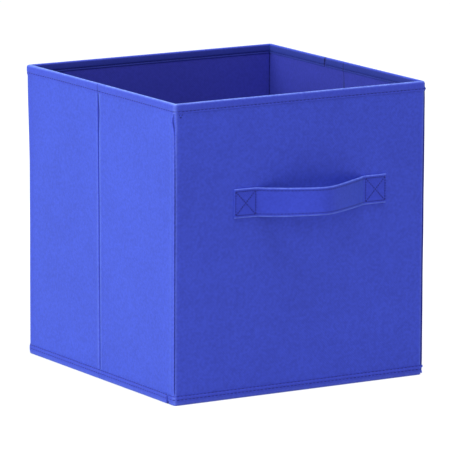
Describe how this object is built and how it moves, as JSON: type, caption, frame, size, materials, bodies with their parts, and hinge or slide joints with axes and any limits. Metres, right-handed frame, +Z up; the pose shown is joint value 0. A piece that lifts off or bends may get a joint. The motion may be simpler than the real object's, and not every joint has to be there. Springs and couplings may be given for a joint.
{
  "type": "fabric storage bin",
  "caption": "Open-topped square fabric storage bin with board-stiffened walls, taped rim and bottom edge, a strap handle on the front, creased folding sides and a loose base board.",
  "frame": {"origin": "centre of the underside, on the surface that the bin stands on", "axes": "+Z up out of the opening, +Y from the handle wall towards the back wall, +X to the right as seen from the handle side"},
  "size_m": [0.2708, 0.2971, 0.276],
  "materials": {
    "cover_cloth": "royal blue spunbond nonwoven cloth, matt with a faint sheen",
    "lining_cloth": "royal blue spunbond nonwoven cloth, matt",
    "edge_tape": "folded nonwoven binding tape, matt",
    "handle_strap": "folded nonwoven strap with stitched edges",
    "thread": "blue sewing thread and seam cloth",
    "chipboard": "grey-brown chipboard"
  },
  "bodies": {
    "back_wall": {"back_cover": "cover_cloth", "back_board": "chipboard", "back_lining": "lining_cloth", "back_rim": "edge_tape", "rear_left_corner_seam": "thread", "rear_right_corner_seam": "thread", "bottom_binding": "edge_tape", "bottom_cloth": "cover_cloth"},
    "left_rear_wall": {"left_rear_cover": "cover_cloth", "left_rear_board": "chipboard", "left_rear_lining": "lining_cloth", "left_rear_rim": "edge_tape", "left_crease_seam": "thread"},
    "left_front_wall": {"left_front_cover": "cover_cloth", "left_front_board": "chipboard", "left_front_lining": "lining_cloth", "left_front_rim": "edge_tape"},
    "right_rear_wall": {"right_rear_cover": "cover_cloth", "right_rear_board": "chipboard", "right_rear_lining": "lining_cloth", "right_rear_rim": "edge_tape", "right_crease_seam": "thread"},
    "right_front_wall": {"right_front_cover": "cover_cloth", "right_front_board": "chipboard", "right_front_lining": "lining_cloth", "right_front_rim": "edge_tape"},
    "front_wall": {"front_cover": "cover_cloth", "front_board": "chipboard", "front_lining": "lining_cloth", "front_rim": "edge_tape", "front_left_corner_seam": "thread", "front_right_corner_seam": "thread", "handle_left_end": "handle_strap", "handle_right_end": "handle_strap", "handle_left_arm": "handle_strap", "handle_right_arm": "handle_strap", "handle_left_stitching": "thread", "handle_right_stitching": "thread"},
    "handle": {"handle_grip": "handle_strap"},
    "base_board": {"base_board_core": "chipboard", "base_board_cover": "cover_cloth"}
  },
  "joints": [
    {"name": "fold", "type": "hinge", "parent": "back_wall", "child": "left_rear_wall", "pos_m": [-0.1323, 0.1279, 0.138], "axis": [0, 0, 1], "range_deg": [0, 88], "deforming": ["bottom_cloth", "bottom_binding"]},
    {"name": "left_crease", "type": "hinge", "parent": "left_rear_wall", "child": "left_front_wall", "pos_m": [-0.1346, 0, 0.138], "axis": [0, 0, 1], "range_deg": [-176, 0]},
    {"name": "front_left_corner", "type": "hinge", "parent": "left_front_wall", "child": "front_wall", "pos_m": [-0.1323, -0.1279, 0.138], "axis": [0, 0, 1], "range_deg": [0, 88]},
    {"name": "rear_right_corner", "type": "hinge", "parent": "back_wall", "child": "right_rear_wall", "pos_m": [0.1323, 0.1279, 0.138], "axis": [0, 0, 1], "range_deg": [-88, 0]},
    {"name": "right_crease", "type": "hinge", "parent": "right_rear_wall", "child": "right_front_wall", "pos_m": [0.1346, 0, 0.138], "axis": [0, 0, 1], "range_deg": [0, 176]},
    {"name": "handle_swing", "type": "hinge", "parent": "front_wall", "child": "handle", "pos_m": [0.01, -0.1343, 0.18], "axis": [1, 0, 0], "range_deg": [-45, 45], "deforming": ["handle_left_arm", "handle_right_arm"]},
    {"name": "base_board_lift", "type": "slide", "parent": "back_wall", "child": "base_board", "axis": [0, 0, 1], "range_m": [0, 0.3]}
  ],
  "couplings": [
    {"joint": "left_crease", "follows": "fold", "ratio": -2},
    {"joint": "front_left_corner", "follows": "fold", "ratio": 1},
    {"joint": "rear_right_corner", "follows": "fold", "ratio": -1},
    {"joint": "right_crease", "follows": "fold", "ratio": 2}
  ]
}
